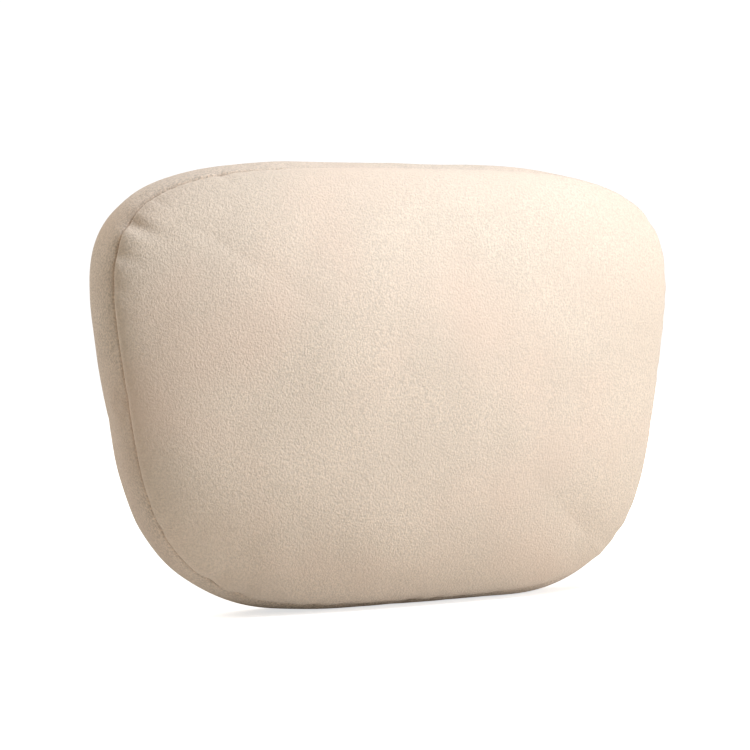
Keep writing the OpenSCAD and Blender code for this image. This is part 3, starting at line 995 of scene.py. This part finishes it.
def coil_row(side):
    """One row of the coil: a wound thread whose heads lie between those of the other row."""
    reach = (coil_high.z - ZIP_Z + COIL_OVERLAP) / 2
    middle_z = ZIP_Z + side * (reach - COIL_OVERLAP)
    middle_y = (coil_low.y + coil_high.y) / 2
    rise = (coil_high.y - coil_low.y) / 2 - COIL_WIRE
    start = coil_low.x + COIL_WIRE + (COIL_PITCH / 2 if side > 0 else 0)
    turns = int((coil_high.x - COIL_WIRE - start) / COIL_PITCH)
    per_turn = 12
    phase = 2 * np.pi * np.arange(turns * per_turn + 1) / per_turn
    squared = np.sign(np.cos(phase)) * np.abs(np.cos(phase)) ** COIL_SQUARENESS
    line = np.stack([
        start + COIL_PITCH * phase / (2 * np.pi),
        middle_y + rise * np.sin(phase),
        middle_z - side * (reach - COIL_WIRE) * squared,
    ], -1)
    return tube(line, COIL_WIRE)


def make_zip():
    for name, side in (("upper", 1), ("lower", -1)):
        piece = new_piece(f"zip_teeth_{name}", *coil_row(side))
        fix_normals(piece)
        dress(piece, "cushion", "zip_coil", coil_plastic(), f"zip_coil_{name}")
        paint(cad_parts[f"zip_tape_{name}"], tape_weave())
    edged("zip_slider_body", "zip_slider", "slider", "zip_metal", zip_metal(), 0.22 * MM)
    edged("zip_pull_tab", "zip_pull", "pull", "zip_metal", zip_metal(), 0.25 * MM)
    edged("zip_stops", "zip_end_stops", "cushion", "zip_metal", zip_metal(), 0.35 * MM)


WELD = 2e-6             # points nearer than this are one, in metres
FLAT_ANGLE = math.radians(0.5)
BEVEL_ANGLE = math.radians(40)
SHARP_ANGLE = math.radians(38)


def edged(name, node, body, slot, material, width, extra=()):
    """A CAD part with its edges rounded, and with small details added, in place of the plain one."""
    bm = bmesh.new()
    bm.from_mesh(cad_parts[node].data)
    bmesh.ops.remove_doubles(bm, verts=bm.verts, dist=WELD)
    bmesh.ops.dissolve_limit(bm, angle_limit=FLAT_ANGLE, verts=bm.verts, edges=bm.edges)
    edges = [e for e in bm.edges if e.is_manifold and e.calc_face_angle() > BEVEL_ANGLE]
    bmesh.ops.bevel(
        bm, geom=edges, offset=width, segments=3, profile=0.5, affect="EDGES", clamp_overlap=True,
    )
    bmesh.ops.remove_doubles(bm, verts=bm.verts, dist=WELD)
    for points, faces in extra:
        add_faces(bm, points, faces)
    bmesh.ops.recalc_face_normals(bm, faces=bm.faces)
    mesh = bpy.data.meshes.new(name)
    bm.to_mesh(mesh)
    bm.free()
    piece = add_object(name, mesh)
    piece.data.set_sharp_from_angle(angle=SHARP_ANGLE)
    weighted = piece.modifiers.new("Weighted", "WEIGHTED_NORMAL")
    weighted.keep_sharp = True
    dress(piece, body, slot, material, node)


def make_zip_stitches(upper, lower):
    """Thread lines that hold the back panels to the tapes."""
    depsgraph = bpy.context.evaluated_depsgraph_get()
    trees = [BVHTree.FromObject(piece, depsgraph) for piece in (upper, lower)]

    def height(x, z):
        tree = trees[0] if z > ZIP_Z else trees[1]
        hit = tree.ray_cast(Vector((x, BACK_Y + 0.05, z)), Vector((0, -1, 0)))[0]
        return hit.y if hit else BACK_Y

    reach_x = WINDOW_HALF_L + STITCH_AWAY
    reach_z = WINDOW_HALF_H + STITCH_AWAY
    rows = box_rows(-reach_x, reach_x, ZIP_Z - reach_z, ZIP_Z + reach_z)
    stitched("zip_topstitching", rows, 3 * MM, 0.2 * MM, height, "cover", (0.66, 0.53, 0.42))


# ---- label

label_low, label_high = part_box("care_label")
LABEL_LIFT = 1.3 * MM   # how far its lower end stands off the back, and the depth of its wave
LABEL_WAVE = 0.35 * MM
LABEL_TUCK = 1.6 * MM   # how far its top edge goes into the seam


def make_label():
    """A blank satin label, sewn in by its top edge, that hangs with a soft wave."""
    columns, rows = 15, 29
    x = np.linspace(label_low.x, label_high.x, columns)
    s = np.linspace(0, 1, rows)
    grid_x, grid_s = np.meshgrid(x, s, indexing="ij")
    across = (grid_x - label_low.x) / (label_high.x - label_low.x)
    wave = LABEL_WAVE * grid_s * np.sin(2.2 * np.pi * across + 0.6)
    lift = 0.5 * MM + LABEL_LIFT * grid_s ** 1.5 + wave
    tuck = LABEL_TUCK * np.exp(-(grid_s / 0.09) ** 2)
    y = back_surface_y(label_low.x, ZIP_Z - 10 * MM) + lift - tuck
    z = label_high.z - grid_s * (label_high.z - label_low.z)
    points = np.stack([grid_x, y, z], -1)
    faces = grid_faces(columns, rows, flip=True)
    piece = shell("blank_label", points, faces, point_normals(points, faces), 0.2 * MM)
    dress(piece, "cushion", "label", satin(), "care_label")


def back_surface_y(x, z):
    """The back's own height at a place, before its small irregularities."""
    m = max(abs(x) / (HALF_W * (1 + TAPER * (z - MID_Z) / HALF_H)), abs(z - MID_Z) / HALF_H)
    return BACK_SEAM_Y + BACK_CROWN * float(back_height(np.array(m)))


# ---- buckle and adjuster


def ridge(x, y, side, half_length, radius):
    """A low rounded rib across a buckle's face."""
    z = STRAP_Z + np.linspace(-half_length, half_length, 9)
    taper = np.sqrt(np.clip(1 - np.linspace(-1, 1, 9) ** 6, 0.05, 1))
    turns = np.pi * np.arange(9) / 8
    points = [
        (x + radius * math.cos(t), y + side * (0.45 * radius * w * math.sin(t) - 0.1 * MM), at)
        for at, w in zip(z, taper) for t in turns
    ]
    return np.array(points), tube_faces(len(z), len(turns))


def ridges(first_x, count, half_length):
    low_y, high_y = BUCKLE_Y - 5 * MM, BUCKLE_Y + 5 * MM
    places = [first_x + 2.2 * MM * i for i in range(count)]
    return [ridge(x, y, side, half_length, 0.6 * MM)
            for x in places for y, side in ((high_y, 1), (low_y, -1))]


def make_buckle():
    plastic = moulded()
    grips = ridges(female_high.x - 5.5 * MM, 2, 9 * MM)
    edged("buckle_socket", "buckle_female", "cushion", "buckle_plastic", plastic, 0.5 * MM, grips)
    edged("buckle_plug", "buckle_male", "male_half", "buckle_plastic", plastic, 0.4 * MM)
    for name in ("upper", "lower"):
        node = f"buckle_arm_{name}"
        edged(f"buckle_prong_{name}", node, f"arm_{name}", "buckle_plastic", plastic, 0.35 * MM)
    edged("adjuster_frame", "strap_adjuster", "adjuster", "buckle_plastic", plastic, 0.3 * MM)


# ---- materials

made_materials = {}


def once(build):
    """Builds a material the first time that it is asked for."""
    def get(*values):
        key = (build.__name__, values)
        if key not in made_materials:
            made_materials[key] = build(*values)
        return made_materials[key]
    return get


def paint(piece, material):
    piece.data.materials.clear()
    piece.data.materials.append(material)


def put(tree, socket, value):
    if isinstance(value, bpy.types.NodeSocket):
        tree.links.new(value, socket)
    else:
        socket.default_value = value


def fill_sockets(tree, node, values):
    for name, value in values.items():
        put(tree, node.inputs[name.replace("_", " ")], value)


def add(tree, kind, **inputs):
    """A new shader node of that kind, with its sockets set or linked."""
    node = tree.nodes.new("ShaderNode" + kind)
    fill_sockets(tree, node, inputs)
    return node


WAVE_SCALE = 0.314      # scale that gives a wave texture one stripe a metre


class Shader:
    """A Principled material and short ways to add the nodes that drive it, in millimetres."""

    def __init__(self, name, **sockets):
        self.material = bpy.data.materials.new(name)
        self.material.use_nodes = True
        self.tree = self.material.node_tree
        self.surface = self.tree.nodes["Principled BSDF"]
        fill_sockets(self.tree, self.surface, sockets)
        self.place = self.add("TexCoord").outputs["Object"]

    def add(self, kind, **inputs):
        return add(self.tree, kind, **inputs)

    def noise(self, size, detail=2.0, roughness=0.5, stretch=(1, 1, 1), shift=0.0):
        """Noise whose features are about size across."""
        moved = (shift, shift, shift)
        place = self.add("Mapping", Vector=self.place, Scale=stretch, Location=moved).outputs[0]
        scale = 1 / (size * MM)
        noise = self.add("TexNoise", Vector=place, Scale=scale, Detail=detail, Roughness=roughness)
        return noise.outputs["Fac"]

    def wave(self, size, axis):
        """Stripes across an axis, size from one to the next."""
        wave = self.add("TexWave", Vector=self.place, Scale=WAVE_SCALE / (size * MM))
        wave.bands_direction = axis
        return wave.outputs["Fac"]

    def weave(self, warp, weft):
        """Two sets of stripes, each given as (size, axis), multiplied."""
        node = self.add("Math")
        node.operation = "MULTIPLY"
        for socket, value in zip(node.inputs, (warp, weft)):
            self.tree.links.new(self.wave(*value) if isinstance(value, tuple) else value, socket)
        return node.outputs[0]

    def ramp(self, value, low, high, start=0.0, end=1.0):
        """The value stretched from low..high to start..end."""
        ends = dict(From_Min=low, From_Max=high, To_Min=start, To_Max=end)
        return self.add("MapRange", Value=value, **ends).outputs["Result"]

    def mix(self, share, a, b):
        node = self.add("Mix")
        node.data_type = "RGBA"
        put(self.tree, node.inputs["Factor"], share)
        for socket, colour in ((node.inputs[6], a), (node.inputs[7], b)):
            put(self.tree, socket, (*colour, 1) if isinstance(colour, tuple) else colour)
        return node.outputs[2]

    def done(self, colour, bumps, rough=None):
        """The material, with bumps one over another, each given as (height, depth, strength)."""
        put(self.tree, self.surface.inputs["Base Color"], colour)
        if rough is not None:
            put(self.tree, self.surface.inputs["Roughness"], rough)
        normal = None
        for height, depth, strength in bumps:
            node = self.add("Bump", Height=height, Distance=depth * MM, Strength=strength)
            if normal is not None:
                self.tree.links.new(normal, node.inputs["Normal"])
            normal = node.outputs["Normal"]
        self.tree.links.new(normal, self.surface.inputs["Normal"])
        return self.material


def shade(colour, share):
    return tuple(c * share for c in colour)


@once
def suede(name, base, grain_and_nap_shade):
    """Brushed suede cloth: short nap, soft clouds where it was stroked, and a few dark flecks."""
    s = Shader(name, Roughness=0.95, Specular_IOR_Level=0.2, Sheen_Weight=0.3, Sheen_Roughness=0.5,
               Sheen_Tint=(1, 0.95, 0.9, 1))
    nap = s.noise(1.3, 3, 0.6)
    strands = s.noise(0.7, 2, 0.5, stretch=(1, 1, 0.45))
    clouds = s.noise(48, 3, 0.55)
    patches = s.noise(85, 2, 0.5, shift=3.7)
    flecks = s.noise(1.9, 1, 0.4, shift=1.3)
    pink = (base[0] * 1.02, base[1] * 0.95, base[2] * 0.94)
    # Nap speckle in the colour: grain, and where it is strong, as on the band, also painted shade of
    # the nap
    cloth = s.mix(s.ramp(nap, 0.36, 0.64), shade(base, 1 - grain_and_nap_shade), shade(base, 1 + 0.55 * grain_and_nap_shade))
    cloth = s.mix(s.ramp(clouds, 0.38, 0.62, 0, 0.35), cloth, shade(base, 0.9))
    cloth = s.mix(s.ramp(patches, 0.45, 0.7, 0, 0.6), cloth, pink)
    cloth = s.mix(s.ramp(flecks, 0.76, 0.8, 0, 0.4), cloth, shade(base, 0.55))
    return s.done(cloth, [(nap, 0.6, 1), (strands, 0.3, 1), (clouds, 0.8, 0.3)])


@once
def case_cloth():
    """Plain woven polyester of the inner case."""
    s = Shader("case_cloth", Roughness=0.85)
    weave = s.weave((0.5, "X"), (0.5, "Z"))
    return s.done(s.mix(s.noise(9), (0.82, 0.82, 0.80), (0.90, 0.90, 0.88)), [(weave, 0.1, 0.6)])


@once
def fibre():
    """Loose white filling fibre."""
    s = Shader("fibre", Roughness=1.0, Sheen_Weight=0.3)
    strands = s.noise(1.5, 5, 0.7, stretch=(1, 3, 1))
    colour = s.mix(strands, (0.84, 0.84, 0.82), (0.95, 0.95, 0.93))
    return s.done(colour, [(strands, 0.8, 0.9), (s.noise(18, 3), 3, 0.6)])


@once
def elastic():
    """Dark elastic webbing with a fine cross weave."""
    s = Shader("elastic", Roughness=0.8, Sheen_Weight=0.15)
    cross = s.wave(0.55, "X")
    ribs = s.wave(0.9, "Z")
    yarn = s.noise(0.5, 3, 0.6)
    cloth = s.mix(s.weave(cross, yarn), (0.022, 0.022, 0.024), (0.062, 0.062, 0.066))
    cloth = s.mix(s.ramp(s.noise(25), 0.4, 0.6, 0, 0.3), cloth, (0.07, 0.068, 0.066))
    bumps = [(cross, 0.14, 0.8), (ribs, 0.08, 0.4), (yarn, 0.05, 0.6)]
    return s.done(cloth, bumps, s.ramp(yarn, 0.3, 0.7, 0.7, 0.9))


@once
def thread(colour):
    """Twisted sewing thread."""
    s = Shader("thread", Roughness=0.6, Sheen_Weight=0.2)
    twist = s.noise(0.22, 1)
    return s.done(s.mix(twist, shade(colour, 0.8), shade(colour, 1.15)), [(twist, 0.05, 0.7)])


@once
def tape_weave():
    """Herringbone polyester tape."""
    s = Shader("tape_weave", Roughness=0.8, Sheen_Weight=0.1)
    weave = s.weave((0.45, "DIAGONAL"), (0.4, "Z"))
    return s.done(s.mix(weave, (0.50, 0.40, 0.31), (0.66, 0.54, 0.43)), [(weave, 0.1, 0.8)])


@once
def coil_plastic():
    """Dyed nylon thread of the coil."""
    s = Shader("coil_plastic", Roughness=0.4, Coat_Weight=0.1)
    colour = s.mix(s.noise(3), (0.50, 0.39, 0.29), (0.60, 0.48, 0.37))
    return s.done(colour, [(s.noise(0.2), 0.02, 0.4)], s.ramp(s.noise(0.8), 0.3, 0.7, 0.32, 0.5))


@once
def zip_metal():
    """Plated die-cast metal with faint brushing and rubbed spots."""
    s = Shader("zip_metal", Metallic=1.0, Roughness=0.3)
    rubbed = s.noise(2.2, 4, 0.6)
    fine = s.noise(0.15, stretch=(0.15, 1, 1))
    colour = s.mix(s.ramp(rubbed, 0.35, 0.65), (0.46, 0.45, 0.43), (0.62, 0.61, 0.59))
    bumps = [(fine, 0.01, 0.5), (rubbed, 0.03, 0.3)]
    return s.done(colour, bumps, s.ramp(rubbed, 0.3, 0.7, 0.24, 0.42))


@once
def moulded():
    """Fine-textured dark acetal."""
    s = Shader("moulded", Roughness=0.42, Specular_IOR_Level=0.5)
    marks = s.noise(6, 4, 0.65)
    colour = s.mix(s.ramp(marks, 0.4, 0.62), (0.020, 0.020, 0.022), (0.034, 0.034, 0.036))
    bumps = [(s.noise(0.22), 0.03, 0.6), (marks, 0.05, 0.2)]
    return s.done(colour, bumps, s.ramp(marks, 0.3, 0.7, 0.36, 0.52))


@once
def satin():
    """Off-white woven satin, with nothing printed on it."""
    s = Shader("satin", Roughness=0.45, Sheen_Weight=0.2)
    weave = s.weave((0.22, "X"), (0.3, "Z"))
    colour = s.mix(weave, (0.74, 0.72, 0.68), (0.86, 0.85, 0.81))
    return s.done(colour, [(weave, 0.04, 0.6)], s.ramp(weave, 0, 1, 0.4, 0.6))


# ---- floor, light and camera

CAMERA_AZIMUTH = -23.5
CAMERA_ELEVATION = 1.0
CAMERA_DISTANCE = 1.184
CAMERA_LENS = 90
CAMERA_ROLL = 1.2
AIM_LEFT = 9.6 * MM     # the camera aims this far beside and above the cushion's middle
AIM_UP = 6.3 * MM


def toward(azimuth, elevation):
    """Direction from the object, where azimuth 0 is the front and 90 is +X."""
    a, e = math.radians(azimuth), math.radians(elevation)
    return Vector((math.sin(a) * math.cos(e), -math.cos(a) * math.cos(e), math.sin(e)))


def make_camera():
    middle = Vector((0, MID_Y, MID_Z))
    back = toward(CAMERA_AZIMUTH, CAMERA_ELEVATION)
    place = middle + back * CAMERA_DISTANCE
    level_right = Vector((0, 0, 1)).cross(back).normalized()
    level_up = back.cross(level_right)
    roll = math.radians(CAMERA_ROLL)
    right = level_right * math.cos(roll) - level_up * math.sin(roll)
    up = level_up * math.cos(roll) + level_right * math.sin(roll)
    aim = middle - right * AIM_LEFT + up * AIM_UP
    z_axis = (place - aim).normalized()
    x_axis = (right - z_axis * right.dot(z_axis)).normalized()
    y_axis = z_axis.cross(x_axis)
    data = bpy.data.cameras.new("camera")
    data.lens = CAMERA_LENS
    data.sensor_width = 36
    data.clip_start = 0.01
    camera = bpy.data.objects.new("camera", data)
    bpy.context.scene.collection.objects.link(camera)
    turn_matrix = Matrix((x_axis, y_axis, z_axis)).transposed()
    camera.matrix_world = Matrix.Translation(place) @ turn_matrix.to_4x4()
    bpy.context.scene.camera = camera


LIGHTS = {              # azimuth, elevation, distance and size in metres, watts, colour
    "key": (17, 47, 0.62, 0.35, 2.75, (0.89, 1, 1.15)),
    "right": (62, 5, 2.4, 1.2, 37, (1, 1, 1)),
    "behind": (-142, 40, 2.4, 1.4, 31, (1, 1, 1)),
}


def make_lights():
    for name, (azimuth, elevation, distance, size, power, colour) in LIGHTS.items():
        data = bpy.data.lights.new(name, "AREA")
        data.shape = "DISK"
        data.size = size
        data.energy = power
        data.color = colour
        light = bpy.data.objects.new(name, data)
        bpy.context.scene.collection.objects.link(light)
        direction = toward(azimuth, elevation)
        light.location = Vector((0, MID_Y, MID_Z)) + direction * distance
        light.rotation_mode = "QUATERNION"
        light.rotation_quaternion = direction.to_track_quat("Z", "Y")
        light.visible_camera = False


AMBIENT = 0.25          # brightness of the surroundings as light
AMBIENT_COLOUR = (1.12, 1, 0.8, 1)
FLOOR_GLOW = 0.69       # part of the floor's white that the object doesn't shade
FAR_GLOW = 1.0          # and the same away from the object, where the floor meets the white
NEAR_FLOOR, FAR_FLOOR = 0.3, 1.0       # metres from the object's middle
FLOOR_WHITE = (0.8, 0.8, 0.8, 1)       # floor as the camera sees it
FLOOR_BOUNCE = (0.73, 0.71, 0.68, 1)   # floor as the object sees it
FLOOR_HALF = 6.0        # half the floor's side, in metres
FLOOR_GAP = 0.1 * MM    # from the floor up to the cushion's lowest point
WHITE_BEHIND = 1.05     # brightness of the background as the camera sees it


def seen_by_camera(tree, seen, unseen):
    """A shader that shows one thing to the camera and lights the object with another."""
    share = add(tree, "LightPath").outputs["Is Camera Ray"]
    mix = add(tree, "MixShader", Fac=share)
    tree.links.new(unseen.outputs[0], mix.inputs[1])
    tree.links.new(seen.outputs[0], mix.inputs[2])
    return mix.outputs[0]


def make_world():
    world = bpy.data.worlds.new("world")
    world.use_nodes = True
    tree = world.node_tree
    tree.nodes.clear()
    shown = add(tree, "Background", Strength=WHITE_BEHIND, Color=(1, 1, 1, 1))
    lighting = add(tree, "Background", Strength=AMBIENT, Color=AMBIENT_COLOUR)
    add(tree, "OutputWorld", Surface=seen_by_camera(tree, shown, lighting))
    bpy.context.scene.world = world


def make_floor():
    side = FLOOR_HALF
    corners = [(-side, -side, 0), (side, -side, 0), (side, side, 0), (-side, side, 0)]
    floor = new_piece("floor", corners, [(0, 1, 2, 3)], smooth=False)
    floor.location.z = -FLOOR_GAP
    material = bpy.data.materials.new("floor")
    material.use_nodes = True
    tree = material.node_tree
    tree.nodes.clear()
    away = add(tree, "VectorMath")
    away.operation = "LENGTH"
    tree.links.new(add(tree, "TexCoord").outputs["Object"], away.inputs[0])
    fade = add(
        tree, "MapRange", Value=away.outputs["Value"], From_Min=NEAR_FLOOR, From_Max=FAR_FLOOR,
        To_Min=FLOOR_GLOW, To_Max=FAR_GLOW,
    )
    glow = add(tree, "Emission", Strength=fade.outputs["Result"])
    white = add(tree, "BsdfDiffuse", Color=FLOOR_WHITE)
    both = add(tree, "AddShader")
    for socket, shader in zip(both.inputs, (white, glow)):
        tree.links.new(shader.outputs[0], socket)
    dim = add(tree, "BsdfDiffuse", Color=FLOOR_BOUNCE)
    add(tree, "OutputMaterial", Surface=seen_by_camera(tree, both, dim))
    paint(floor, material)


# ---- everything together

make_camera()
skin_points, skin_faces, skin_moves = coarse_cover()
upper_piece, lower_piece = make_cover(skin_moves)
make_inside(skin_points + skin_moves, skin_faces)
make_zip()
make_zip_stitches(upper_piece, lower_piece)
make_label()
make_straps()
make_buckle()
make_floor()
make_world()
make_lights()
bpy.context.scene.view_settings.view_transform = "Standard"
